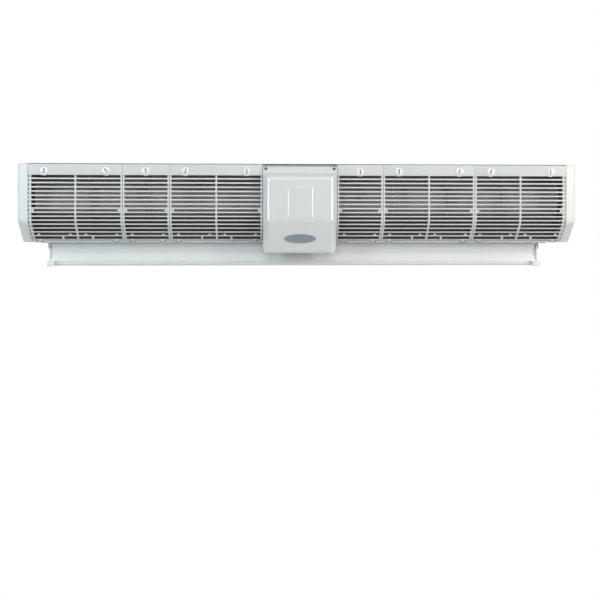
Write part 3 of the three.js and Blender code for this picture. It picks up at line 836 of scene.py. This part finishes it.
def coverOutline(proud, rise):
    face = cover["flange"] - proud
    foot = cover["footY"] + cover["proud"] - proud
    bottom = cover["foot"] + rise
    lipDepth, lipHeight = cover["footLip"]
    drop = (cover["flangeBottom"] - cover["faceTop"]) * max(proud, 1) / cover["proud"]
    corners = [
        (cover["backTop"][0], cover["top"]),
        (cover["flange"], cover["top"]),
        (cover["flange"], cover["flangeBottom"]),
        (face, cover["flangeBottom"] - drop),
        (face, cover["bend"]),
        (foot - cover["footLean"] * rise / 80, bottom),
        (foot + lipDepth, bottom - lipHeight),
        (cover["backFoot"][0], bottom - lipHeight),
    ]
    return rounded(corners, cover["radii"], 7, closed=False)


def coverShape():
    half, fillet = cover["half"], cover["edgeFillet"]
    corner = cover["cornerRound"]
    facetX, facetProud = cover["facet"][0]
    share = [k / cover["bevelSteps"] for k in range(1, cover["bevelSteps"])]
    bevel = [(-half + (facetX + half) * t, facetProud * t) for t in share]
    left = [(-half, -8), (-half, 0)] + bevel + cover["facet"]
    right = [(-x, proud) for x, proud in left[::-1]]
    radii = [0, 0.8] + [0] * len(bevel) + [fillet, fillet]
    plan = rounded(left + [(0, cover["proud"])] + right, radii + [0] + radii[::-1], 4, closed=False)
    plan = [(x, proud) for x, proud in plan if proud >= 0]
    rings = []
    for x, proud in plan:
        past = max(0, abs(x) - (half - corner))
        rise = corner - math.sqrt(max(0, corner**2 - past**2))
        rings.append([(x, y, z) for y, z in coverOutline(proud, rise)])
    for end, where in ((0, 0), (-1, len(rings) + 1)):
        wallEdge = [(x, max(y, coverBackY(z)), z) for x, y, z in rings[end]]
        rings.insert(where, wallEdge)
    return loft(rings, loop=False, capped=False)


def makeCover():
    piece = standIn("centre_cover", coverShape(), "white_plastic", 40)
    shell = piece.modifiers.new("wall", "SOLIDIFY")
    shell.thickness = cover["wall"] * mm
    shell.offset = -1


makeCover()

# the raised square in the middle of the cover
raised = {"halfWidth": 33.2, "low": -42, "high": 41, "height": 0.8, "slope": 1.7, "corner": 3}


def raisedShape():
    face = cover["flange"] - cover["proud"]
    slopeWidth, height = raised["slope"], raised["height"]
    profile = [(0, -1), (0, 0), (0.2, 0.05), (slopeWidth - 0.2, height - 0.05), (slopeWidth, height)]
    rings = []
    for inset, lift in profile:
        w, low, high = raised["halfWidth"] - inset, raised["low"] + inset, raised["high"] - inset
        radius = max(raised["corner"] - inset, 1)
        outline = rounded([(-w, low), (w, low), (w, high), (-w, high)], radius, 5)
        rings.append([(x, face - lift, z) for x, z in outline])
    return loft(rings)


makePiece("raised_square", raisedShape(), "white_plastic", "casing", smooth=8)


# the blank oval badge on the lower part, whose rim stands above its face
badge = {
    "halfWidth": 42.5,
    "halfHeight": 13,
    "profile": [(0, -0.6), (0, 0.2), (0.4, 0.6), (2.2, 0.6), (2.6, 0.3), (3.2, 0.3)],  # (inset, lift)
    "steps": 72,
}


def badgeShape():
    centre = centreOf("blank_badge")
    coverBack = cover["footY"] - cover["flange"] + cover["proud"]
    lean = math.atan2(coverBack, cover["bend"] - cover["foot"])
    rings = []
    for inset, lift in badge["profile"]:
        halfWidth, halfHeight = badge["halfWidth"] - inset, badge["halfHeight"] - inset
        ring = []
        for k in range(badge["steps"]):
            angle = 2 * math.pi * k / badge["steps"]
            ring.append((halfWidth * math.cos(angle), -lift, halfHeight * math.sin(angle)))
        rings.append(ring)
    shape = turned(loft(rings), lean, "X", (0, 0, 0))
    return [tuple(Vector(p) + centre) for p in shape[0]], shape[1]


standIn("blank_badge", badgeShape(), "badge_plastic", 40)


# cover screws: dark round heads with a cross
screw = {
    "head": [(-2.2, 0), (-2.1, 1.4), (-1.7, 2.6), (-0.9, 3.6), (-0.35, 3.9), (0, 3.9), (0, 0)],
    "shankRadius": 1.9,
    "shankEnd": -184,
    "crossReach": 2.2,
    "crossHalf": 0.45,
    "crossDepth": -1.1,
    "crossAngles": (20, 110),
}


def screwShape(x, z, face):
    radius, end = screw["shankRadius"], screw["shankEnd"]
    head = lathe([(face + along, r) for along, r in screw["head"]], (x, 0, z), "Y", 32)
    stem = [(face - 0.2, 0), (face - 0.2, radius), (end, radius), (end + 2, 0)]
    return joined([head, lathe(stem, (x, 0, z), "Y", 16)])


def crossShapes(x, z, face):
    reach, half = screw["crossReach"], screw["crossHalf"]
    bar = block(x - reach, x + reach, face - 4, face + screw["crossDepth"], z - half, z + half, 0.1)
    return [turned(bar, math.radians(angle), "Y", (x, 0, z)) for angle in screw["crossAngles"]]


def makeCoverScrews():
    face = cover["flange"] - 0.1
    for side in ("left", "right"):
        node = f"cover_screw_{side}"
        x, z = centreOf(node).x, centreOf(node).z
        standIn(node, screwShape(x, z, face), "dark_screw", 35, crossShapes(x, z, face))


makeCoverScrews()
print("centre cover made")


# vane: a steel blade with a bead and a hem at its foot, between two moulded ends
vane = {
    "front": [(-121.5, -124), (-120.6, -125.5), (-120.9, -140), (-124.2, -157.5), (-125.8, -161.6),
              (-123.2, -163.2), (-123, -165), (-126.3, -165.7), (-126.8, -167.2), (-121.6, -173)],
    "back": [(-119.5, -173), (-118.4, -169), (-122.6, -158.5), (-119, -140), (-118.6, -125.5),
             (-119.2, -124)],
    "frontRadii": [1, 1, 20, 8, 1.4, 0.4, 0.4, 0.8, 1, 1.5],
    "backRadii": [0.8, 3, 3, 20, 1, 1],
    "topRadius": 0.6,
    "endGap": 0.3,
}
vaneEnd = {
    "pivot": (-118, -120),
    "cheek": [(-126, -112), (-126, -160), (-134, -163), (-134, -174), (-112, -174), (-111, -140),
              (-110, -112)],
    "cheekRadii": [5, 6, 3, 3, 5, 10, 5],
    "cheekWidth": 3,
    "ear": (-12, 9, -134.5, -127.3, -174.5, -160),
    "earRadius": 3,
    "boss": [(0, 0), (0, 7), (3.2, 7), (3.6, 6.6), (3.6, 0)],
}
# the folded lip that closes the casing above the blade
lip = {"half": 660, "low": -110.4, "high": -107.6, "front": -128.2, "sheet": 1.2}


def bladeSection(top):
    front, back = vane["front"], vane["back"]
    side = [(front[0][0], top)] + front + back + [(back[-1][0], top)]
    radii = [vane["topRadius"]] + vane["frontRadii"] + vane["backRadii"] + [vane["topRadius"]]
    return rounded(side, radii, 5)


def vaneEndShape():
    # one moulded end, drawn from the end of the blade outwards
    cheek = rounded(vaneEnd["cheek"], vaneEnd["cheekRadii"], 5)
    ear = block(*vaneEnd["ear"], vaneEnd["earRadius"])
    boss = lathe(vaneEnd["boss"], (0, *vaneEnd["pivot"]), "X", 36)
    return joined([slab(cheek, 0, vaneEnd["cheekWidth"], 0.6), boss, ear])


def shifted(shape, along):
    return [(x + along, y, z) for x, y, z in shape[0]], shape[1]


def makeVane():
    low, high = boxOf("vane_blade")
    reach = vane["endGap"]
    end = vaneEndShape()
    standIn("vane_blade", slab(bladeSection(high.z), low.x, high.x, 0.3), "vane_paint")
    standIn("vane_end_right", shifted(end, high.x + reach), "ear_plastic")
    standIn("vane_end_left", shifted(mirrored(end), low.x - reach), "ear_plastic")


def makeLip():
    front, low, high = lip["front"], lip["low"], lip["high"]
    back = front + lip["sheet"]
    outline = rounded([(front, low), (front, high), (back, high), (back, low)], 0.4, 3)
    makePiece("outlet_lip", slab(outline, -lip["half"], lip["half"], 0.4), "rail_grey_and_shade", "casing")


makeVane()
makeLip()
print("vane made")


# impellers: curved blades between discs, on a stub shaft
impeller = {
    "blades": 34,
    "radius": 55,
    "inner": 104,
    "outer": 714,
    "bladeCurve": 13,
    "bladeSpread": 64,  # degrees of arc
    "bladeLean": 118,
    "bladeInset": 7.2,  # from the rim to the middle of a blade
    "thickness": 1.2,
    "discs": 5,
    "discWidth": 2,
    "discHole": 38,
    "stubRadius": 4,
    "stubLength": 15,
}


def fanAxis():
    centre = centreOf("motor_shaft")
    return (0, centre.y, centre.z)


def bladeOutline():
    # an arc of sheet, hollow towards the way it turns
    curve, spread = impeller["bladeCurve"], math.radians(impeller["bladeSpread"])
    front, back = [], []
    for k in range(6):
        angle = -spread / 2 + spread * k / 5
        for radius, side in ((curve, front), (curve - impeller["thickness"], back)):
            side.append((radius * math.cos(angle) - curve, radius * math.sin(angle)))
    return front + back[::-1]


def bladeShape(angle):
    centreY, centreZ = fanAxis()[1:]
    lean = math.radians(impeller["bladeLean"])
    middle = impeller["radius"] - impeller["bladeInset"]
    outline = []
    for u, v in bladeOutline():
        across = u * math.cos(lean) - v * math.sin(lean)
        out = u * math.sin(lean) + v * math.cos(lean) + middle
        outline.append((centreY + out * math.cos(angle) - across * math.sin(angle),
                        centreZ + out * math.sin(angle) + across * math.cos(angle)))
    return slab(outline, impeller["inner"] + 1, impeller["outer"] - 1, 0)


def discShape(x, hole):
    radius, width, edge = impeller["radius"], impeller["discWidth"], 0.4
    profile = [
        (x, hole), (x, radius - edge), (x + edge, radius),
        (x + width - edge, radius), (x + width, radius - edge), (x + width, hole),
    ]
    return lathe(profile, fanAxis(), "X", 64, ring=hole > 0)


def stubShape():
    start, radius = impeller["outer"] - 1, impeller["stubRadius"]
    end = impeller["outer"] + impeller["stubLength"]
    profile = [(start, 0), (start, radius), (end - 0.5, radius), (end, radius - 0.5), (end, 0)]
    return lathe(profile, fanAxis(), "X", 24)


def impellerShape():
    inner, outer = impeller["inner"], impeller["outer"]
    last = impeller["discs"] - 1
    shapes = [bladeShape(2 * math.pi * n / impeller["blades"]) for n in range(impeller["blades"])]
    for k in range(impeller["discs"]):
        x = inner + (outer - inner - impeller["discWidth"]) * k / last
        shapes.append(discShape(x, 0 if k in (0, last) else impeller["discHole"]))
    return joined(shapes + [stubShape()])


def makeImpellers():
    shape = impellerShape()
    standIn("impeller_right", shape, "impeller_plastic")
    standIn("impeller_left", mirrored(shape), "impeller_plastic")


makeImpellers()
print("impellers made")


# round pieces inside, as closed (x, radius) profiles of the right one about the fan's axis
rounds = {
    "coupling": {
        "finish": "bright_steel",
        "profile": [(80, 5.3), (80, 14.5), (80.5, 15), (99, 15), (100, 16), (100, 21.5), (100.5, 22),
                    (103.2, 22), (103.7, 21.5), (103.7, 5.3)],
    },
    "bearing": {
        "finish": "bright_steel",
        "profile": [(718, 4.35), (718, 5.8), (718.6, 6), (718.6, 9), (718, 9.2), (718, 10.7), (718.3, 11),
                    (726.7, 11), (727, 10.7), (727, 9.2), (726.4, 9), (726.4, 6), (727, 5.8), (727, 4.35)],
    },
    "bearing_housing": {
        "finish": "black_rubber",
        "profile": [(716.5, 11.3), (716.5, 19), (717.5, 20), (722.8, 20), (722.8, 25.5), (723.3, 26),
                    (725.5, 26), (726, 25.5), (726, 20), (726.5, 19.5), (726.5, 11.3)],
    },
    "motor_ring": {
        "finish": "black_rubber",
        "profile": [(60.8, 18.3), (60.6, 25.9), (61, 26.5), (61.2, 26.5), (61.5, 26), (61.5, 24),
                    (65.3, 24), (65.8, 23.5), (65.8, 18.3)],
    },
}
motor = {
    "half": 48,
    "radius": 50,
    "bore": 30,
    "groove": [(36, 50), (37, 49.2), (39, 49.2), (40, 50)],
    "edge": 1,
    "shaftHalf": 99,
    "shaftRadius": 5,
    "shaftEdge": 0.5,
}


def motorShape():
    half, radius, edge = motor["half"], motor["radius"], motor["edge"]
    side = motor["groove"] + [(half - edge, radius), (half, radius - edge), (half, motor["bore"])]
    profile = [(-x, r) for x, r in side[::-1]] + side
    return lathe(profile, fanAxis(), "X", 72, ring=True)


def shaftShape():
    half, radius, edge = motor["shaftHalf"], motor["shaftRadius"], motor["shaftEdge"]
    side = [(half - edge, radius), (half, radius - edge), (half, 0)]
    profile = [(-x, r) for x, r in side[::-1]] + side
    return lathe(profile, fanAxis(), "X", 32)


def makeRounds():
    for node, part in rounds.items():
        shape = lathe(part["profile"], fanAxis(), "X", 64, ring=True)
        standIn(node + "_right", shape, part["finish"])
        standIn(node + "_left", mirrored(shape), part["finish"])
    standIn("motor_body", motorShape(), "motor_paint")
    standIn("motor_shaft", shaftShape(), "bright_steel")


makeRounds()

# sheets that guide the air round each impeller
guide = {
    "start": 98.8,
    "end": 720.7,
    "sheet": 1.5,
    "steps": 28,
    "upperY": -130,
    "upper": (103.2, 84),
    "firstAngle": 100,
    "turn": 140,
    "firstRadius": 63,
    "growth": 23,  # the scroll widens towards the outlet
    "outletY": -44,
    "outletTop": -75,
    "foot": -107.7,
    "footEnd": -29.3,
    "cutOff": [(-146, -36), (-151, -32), (-155, -38), (-126, -78), (-124, -107.7)],
    "cutOffRadii": [0, 4, 4, 8, 0],
}


def guideShape():
    y, z = fanAxis()[1:]
    path = [(guide["upperY"], height) for height in guide["upper"]]
    for k in range(guide["steps"] + 1):
        part = k / guide["steps"]
        angle = math.radians(guide["firstAngle"] - guide["turn"] * part)
        radius = guide["firstRadius"] + guide["growth"] * part
        path.append((y + radius * math.cos(angle), z + radius * math.sin(angle)))
    path.append((guide["outletY"], guide["outletTop"]))
    path.append((guide["outletY"], guide["foot"]))
    path.append((guide["footEnd"], guide["foot"]))
    return slab(bentSheet(path, guide["sheet"]), guide["start"], guide["end"], 0)


def cutOffShape():
    path = rounded(guide["cutOff"], guide["cutOffRadii"], 4, closed=False)
    return slab(bentSheet(path, guide["sheet"]), guide["start"], guide["end"], 0)


def makeGuides():
    # the cut-off sheets take the near-black finish, which is painted shade for the lower gaps
    for node, shape, finishName in (("rear_guide", guideShape(), "galvanised_steel"),
                                    ("cut_off", cutOffShape(), "baffle_painted_shade")):
        standIn(node + "_right", shape, finishName)
        standIn(node + "_left", mirrored(shape), finishName)


makeGuides()
print("inside pieces made")


# the remaining CAD nodes keep their shape, with softened edges and their own finish; the greys of the
# chassis and the lower rail are partly painted shade
restFinish = {
    "galvanised_steel": ["mounting_plate", "end_plate", "bulkhead", "motor_bracket", "capacitor_clip"],
    "painted_steel": ["chassis", "compartment_floor", "vane_bracket"],
    "rail_grey_and_shade": ["lower_rail"],
    "cast_alloy": ["motor_end_bell"],
    "bright_steel": ["pivot_pin"],
    "black_rubber": ["cable_grommet"],
    "electrical_plastic": ["capacitor", "terminal_block"],
}
edgeSoftening = {"width": 0.35, "segments": 2, "leastAngle": 40}


def finishRest():
    finishOf = {node: name for name, group in restFinish.items() for node in group}
    for name, node in frame["nodes"].items():
        if node.hide_render:
            continue
        chosen = finishes[finishOf[name.removesuffix("_left").removesuffix("_right")]]
        for place in node.material_slots:
            place.material = chosen
        soften = node.modifiers.new("edges", "BEVEL")
        soften.width = edgeSoftening["width"] * mm
        soften.segments = edgeSoftening["segments"]
        soften.limit_method = "ANGLE"
        soften.angle_limit = math.radians(edgeSoftening["leastAngle"])


finishRest()
print("carried nodes finished")


# studio: a pale floor that fades to white, soft lights, white behind the object
studio = {
    "floorHeight": -1.35,
    "floorSize": 60,
    "fadeShape": (0.5, 1.6, 0),  # the floor turns white past an oval round the object
    "fade": (0.45, 0.72),
    "floorLift": 0.4,  # brings the lit floor up to white for the camera, and leaves the shadow on it
    "ambient": 0.24,
    "floorTone": 0.74,
    "aim": (0.0, -0.1, -0.03),
}
# the tall strips left and right draw the bright lines on the cover's edges
lamps = {
    "front": {"place": (0, -4.1, 1.45), "size": (2.4, 1.4), "power": 19, "colour": (1.0, 0.99, 0.98)},
    "over": {"place": (0, -2.4, 2.4), "size": (2.4, 1.2), "power": 12, "colour": (1.0, 0.99, 0.98)},
    "left": {"place": (-2.95, -2.09, 0.85), "size": (0.6, 2.3), "power": 50, "colour": (0.87, 0.99, 1.08)},
    "right": {"place": (3.08, -1.88, 0.85), "size": (0.6, 2.3), "power": 64, "colour": (1.03, 1.0, 0.92)},
    "back": {"place": (0.6, 3.6, 1.2), "size": (2.4, 1.4), "power": 60, "colour": (1.0, 1.0, 1.0)},
}


def whiteForCamera(nodes, links):
    # 1 on camera, glossy and transmission rays
    path = nodes.new("ShaderNodeLightPath")
    total = path.outputs["Is Camera Ray"]
    for name in ("Is Glossy Ray", "Is Transmission Ray"):
        most = nodes.new("ShaderNodeMath")
        most.operation = "MAXIMUM"
        links.new(total, most.inputs[0])
        links.new(path.outputs[name], most.inputs[1])
        total = most.outputs[0]
    return total


def makeWorld():
    world = bpy.data.worlds.new("studio")
    world.use_nodes = True
    scene.world = world
    nodes, links = world.node_tree.nodes, world.node_tree.links
    background = nodes["Background"]
    background.inputs["Color"].default_value = (1, 1, 1, 1)
    level = nodes.new("ShaderNodeMapRange")
    level.inputs["To Min"].default_value = studio["ambient"]
    level.inputs["To Max"].default_value = 1
    links.new(whiteForCamera(nodes, links), level.inputs["Value"])
    links.new(level.outputs["Result"], background.inputs["Strength"])


def floorPlane():
    half = studio["floorSize"] / 2
    corners = [(-half, -half, 0), (half, -half, 0), (half, half, 0), (-half, half, 0)]
    mesh = bpy.data.meshes.new("floor")
    mesh.from_pydata(corners, [], [(0, 1, 2, 3)])
    floor = bpy.data.objects.new("floor", mesh)
    floor.location.z = studio["floorHeight"]
    scene.collection.objects.link(floor)
    return floor


def scaledBy(nodes, links, socket, factor):
    node = nodes.new("ShaderNodeMath")
    node.operation = "MULTIPLY"
    node.inputs[1].default_value = factor
    links.new(socket, node.inputs[0])
    return node.outputs[0]


def farFromObject(nodes, links, position):
    # 0 on the floor round the object, rising to 1 past the oval
    flat = nodes.new("ShaderNodeVectorMath")
    flat.operation = "MULTIPLY"
    flat.inputs[1].default_value = studio["fadeShape"]
    links.new(position, flat.inputs[0])
    distance = nodes.new("ShaderNodeVectorMath")
    distance.operation = "LENGTH"
    links.new(flat.outputs["Vector"], distance.inputs[0])
    fade = nodes.new("ShaderNodeMapRange")
    fade.interpolation_type = "SMOOTHSTEP"
    fade.inputs["From Min"].default_value = studio["fade"][0]
    fade.inputs["From Max"].default_value = studio["fade"][1]
    links.new(distance.outputs["Value"], fade.inputs["Value"])
    return fade.outputs["Result"]


def makeFloor():
    floor = floorPlane()
    material = bpy.data.materials.new("floor")
    material.use_nodes = True
    nodes, links = material.node_tree.nodes, material.node_tree.links
    place = nodes.new("ShaderNodeNewGeometry")
    seen = whiteForCamera(nodes, links)
    shader = nodes["Principled BSDF"]
    shader.inputs["Base Color"].default_value = (*[studio["floorTone"]] * 3, 1)
    shader.inputs["Roughness"].default_value = 0.9
    shader.inputs["Specular IOR Level"].default_value = 0
    shader.inputs["Emission Color"].default_value = (1, 1, 1, 1)
    links.new(scaledBy(nodes, links, seen, studio["floorLift"]), shader.inputs["Emission Strength"])
    glow = nodes.new("ShaderNodeEmission")
    both = nodes.new("ShaderNodeMath")
    both.operation = "MULTIPLY"
    links.new(farFromObject(nodes, links, place.outputs["Position"]), both.inputs[0])
    links.new(seen, both.inputs[1])
    mix = nodes.new("ShaderNodeMixShader")
    links.new(both.outputs[0], mix.inputs[0])
    links.new(shader.outputs[0], mix.inputs[1])
    links.new(glow.outputs[0], mix.inputs[2])
    # from below the floor is open, so that the underside can be looked at
    below = nodes.new("ShaderNodeMixShader")
    links.new(place.outputs["Backfacing"], below.inputs[0])
    links.new(mix.outputs[0], below.inputs[1])
    links.new(nodes.new("ShaderNodeBsdfTransparent").outputs[0], below.inputs[2])
    links.new(below.outputs[0], nodes["Material Output"].inputs["Surface"])
    floor.data.materials.append(material)


def makeLights():
    for name, light in lamps.items():
        data = bpy.data.lights.new(name, "AREA")
        data.shape = "RECTANGLE"
        data.size, data.size_y = light["size"]
        data.energy = light["power"]
        data.color = light["colour"]
        lamp = bpy.data.objects.new(name, data)
        lamp.location = light["place"]
        away = Vector(studio["aim"]) - Vector(light["place"])
        lamp.rotation_euler = away.to_track_quat("-Z", "Y").to_euler()
        scene.collection.objects.link(lamp)


makeWorld()
makeFloor()
makeLights()
scene.view_settings.view_transform = "Standard"
print("studio made")
